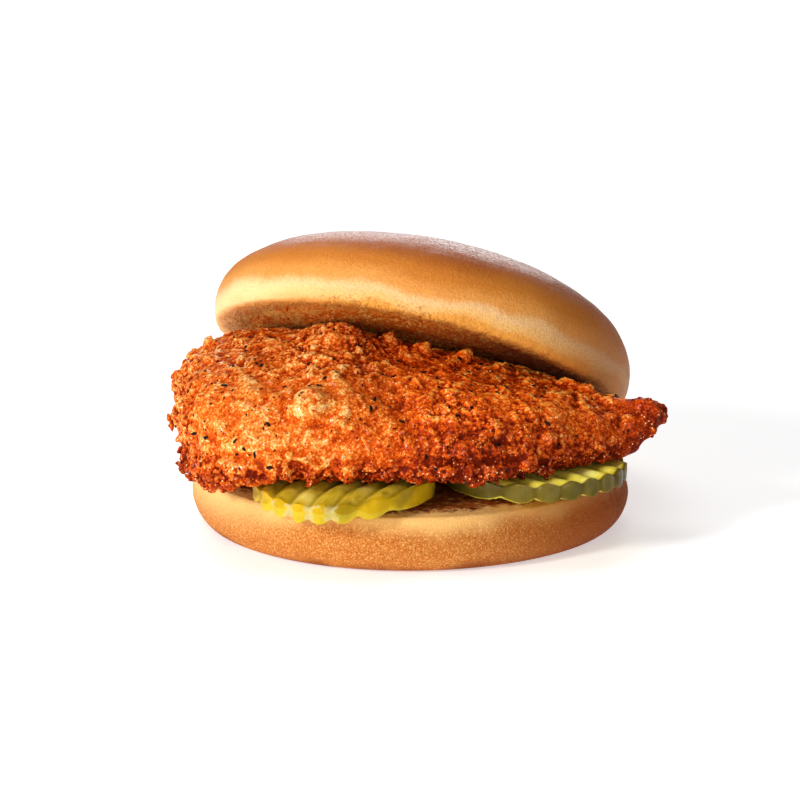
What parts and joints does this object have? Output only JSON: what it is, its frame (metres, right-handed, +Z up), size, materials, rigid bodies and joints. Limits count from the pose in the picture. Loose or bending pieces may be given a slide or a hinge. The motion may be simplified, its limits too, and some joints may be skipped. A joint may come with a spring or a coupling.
{
  "type": "chicken burger",
  "caption": "Breaded fried chicken fillet and crinkle-cut pickle slices in a round toasted bun, the top bun leaning back on the fillet.",
  "frame": {"origin": "centre of the bottom bun's flat base, on the surface it stands on", "axes": "+Z up, -Y the front that shows the fillet and pickles, +X towards the fillet's tail"},
  "size_m": [0.1216, 0.1303, 0.073],
  "materials": {
    "bun": "baked golden-brown bread crust with a soft sheen, pale at the cut edge, toasted brown on the cut face",
    "breaded_chicken": "rough orange-brown fried coating with oily glints and black pepper specks",
    "pickle": "wet, slightly translucent yellow-green with a darker skin"
  },
  "bodies": {
    "root": {"bottom_bun": "bun", "top_bun": "bun", "chicken_fillet": "breaded_chicken", "pickle_left": "pickle", "pickle_right": "pickle"}
  },
  "joints": []
}
